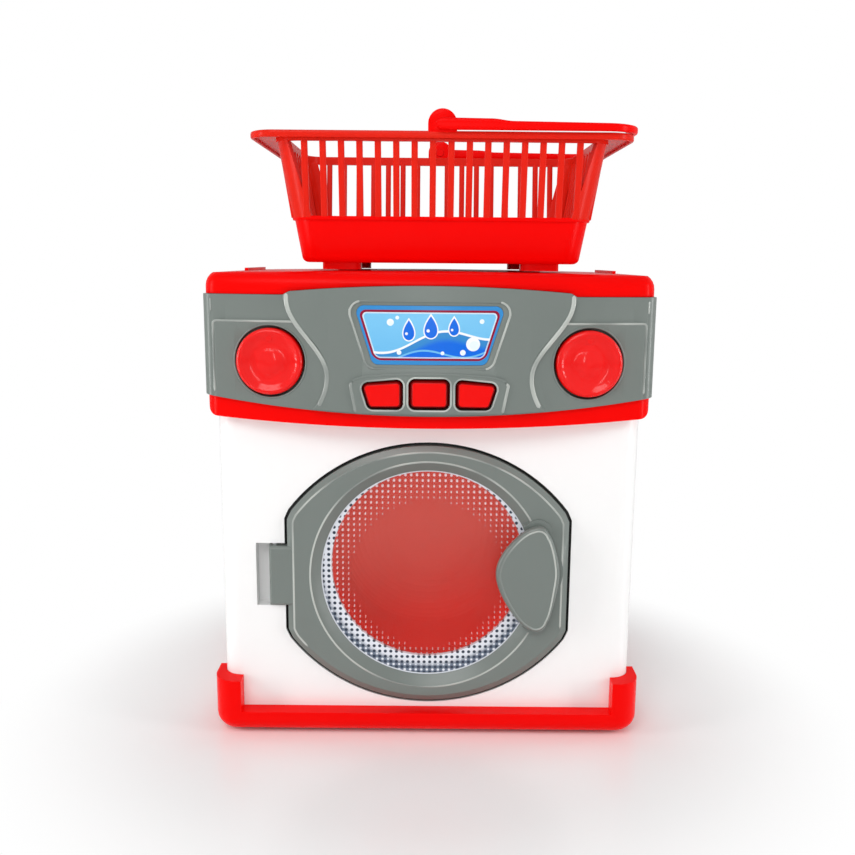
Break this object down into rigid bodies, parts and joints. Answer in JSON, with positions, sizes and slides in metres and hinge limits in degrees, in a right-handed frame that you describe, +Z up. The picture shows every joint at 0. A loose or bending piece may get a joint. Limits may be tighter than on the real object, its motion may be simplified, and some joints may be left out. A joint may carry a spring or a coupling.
{
  "type": "toy washing machine",
  "caption": "Toy front-loading washing machine with a round-window door, geared drum, turning knobs, press buttons, battery cover and a lift-off laundry basket with a folding bail.",
  "frame": {"origin": "middle of the bounding box at its bottom, on the table under the feet", "axes": "+X to the right seen from the front, -Y towards the front with the door and the control panel, +Z up"},
  "size_m": [0.2016, 0.1476, 0.2885],
  "materials": {
    "white_plastic": "smooth glossy injection moulding",
    "red_plastic": "smooth glossy injection moulding",
    "grey_plastic": "satin injection moulding",
    "label_film": "printed film, blue and white",
    "clear_plastic": "clear, with printed dots near its rim",
    "steel": "plain steel",
    "brass": "turned",
    "rubber": "matte",
    "board": "lacquered board",
    "black_plastic": "matte",
    "motor_steel": "plated",
    "ivory_plastic": "moulded",
    "cell_jacket": "printed jacket"
  },
  "bodies": {
    "machine": {"base_tray": "red_plastic", "rubber_feet": "rubber", "base_screws": "steel", "body_shell": "white_plastic", "back_cover": "white_plastic", "case_screws": "steel", "head_housing": "red_plastic", "control_panel": "grey_plastic", "panel_label": "label_film", "circuit_board": "board", "button_switches": "black_plastic", "board_screws": "steel", "tub": "white_plastic", "drum_bearing": "brass", "gear_plate": "ivory_plastic", "plate_screws": "steel", "idler_axle": "steel", "motor": "motor_steel", "motor_clamp": "ivory_plastic", "battery_box": "white_plastic", "batteries": "cell_jacket", "battery_contacts": "steel", "speaker": "black_plastic", "hinge_pin": "steel", "door_catch": "steel", "left_button_spring": "steel", "middle_button_spring": "steel", "right_button_spring": "steel"},
    "door": {"door_frame": "grey_plastic", "door_window": "clear_plastic", "window_retainer": "grey_plastic", "door_handle": "grey_plastic", "door_latch": "grey_plastic"},
    "drum": {"drum": "red_plastic", "drum_shaft": "steel", "drum_gear": "ivory_plastic", "drum_screw": "steel"},
    "idler": {"idler_gear": "ivory_plastic"},
    "pinion": {"motor_pinion": "ivory_plastic"},
    "left_knob": {"left_knob": "red_plastic", "left_knob_clip": "steel"},
    "right_knob": {"right_knob": "red_plastic", "right_knob_clip": "steel"},
    "left_button": {"left_button": "red_plastic"},
    "middle_button": {"middle_button": "red_plastic"},
    "right_button": {"right_button": "red_plastic"},
    "battery_cover": {"battery_cover": "white_plastic", "battery_cover_screw": "steel"},
    "basket": {"basket": "red_plastic"},
    "basket_bail": {"basket_bail": "red_plastic"}
  },
  "joints": [
    {"name": "door_hinge", "type": "hinge", "parent": "machine", "child": "door", "pos_m": [-0.0715, -0.0551, 0.0777], "axis": [0, 0, -1], "range_deg": [0, 100]},
    {"name": "left_knob_turn", "type": "hinge", "parent": "machine", "child": "left_knob", "pos_m": [-0.0701, -0.066, 0.1786], "axis": [0, 1, 0], "continuous": true},
    {"name": "right_knob_turn", "type": "hinge", "parent": "machine", "child": "right_knob", "pos_m": [0.0701, -0.066, 0.1786], "axis": [0, 1, 0], "continuous": true},
    {"name": "left_button_press", "type": "slide", "parent": "machine", "child": "left_button", "axis": [0, 1, 0], "range_m": [0, 0.002], "stiffness_N_per_m": 300, "springref_m": -0.0015, "deforming": ["left_button_spring"]},
    {"name": "middle_button_press", "type": "slide", "parent": "machine", "child": "middle_button", "axis": [0, 1, 0], "range_m": [0, 0.002], "stiffness_N_per_m": 300, "springref_m": -0.0015, "deforming": ["middle_button_spring"]},
    {"name": "right_button_press", "type": "slide", "parent": "machine", "child": "right_button", "axis": [0, 1, 0], "range_m": [0, 0.002], "stiffness_N_per_m": 300, "springref_m": -0.0015, "deforming": ["right_button_spring"]},
    {"name": "drum_spin", "type": "hinge", "parent": "machine", "child": "drum", "pos_m": [0, -0.008, 0.0777], "axis": [0, 1, 0], "continuous": true},
    {"name": "idler_spin", "type": "hinge", "parent": "machine", "child": "idler", "pos_m": [0.0383, 0.032, 0.04556], "axis": [0, 1, 0], "continuous": true},
    {"name": "pinion_spin", "type": "hinge", "parent": "machine", "child": "pinion", "pos_m": [0.05205, 0.032, 0.06938], "axis": [0, 1, 0], "continuous": true},
    {"name": "battery_cover_swing", "type": "hinge", "parent": "machine", "child": "battery_cover", "pos_m": [0, 0.06995, 0.02795], "axis": [-1, 0, 0], "range_deg": [0, 70]},
    {"name": "basket_lift", "type": "slide", "parent": "machine", "child": "basket", "axis": [0, 0, 1], "range_m": [0, 0.08]},
    {"name": "bail_swing", "type": "hinge", "parent": "basket", "child": "basket_bail", "pos_m": [0.0049, 0.0096, 0.2821], "axis": [0, -1, 0], "range_deg": [0, 180]}
  ],
  "couplings": [
    {"joint": "idler_spin", "follows": "drum_spin", "ratio": -1.5},
    {"joint": "pinion_spin", "follows": "drum_spin", "ratio": 4}
  ]
}
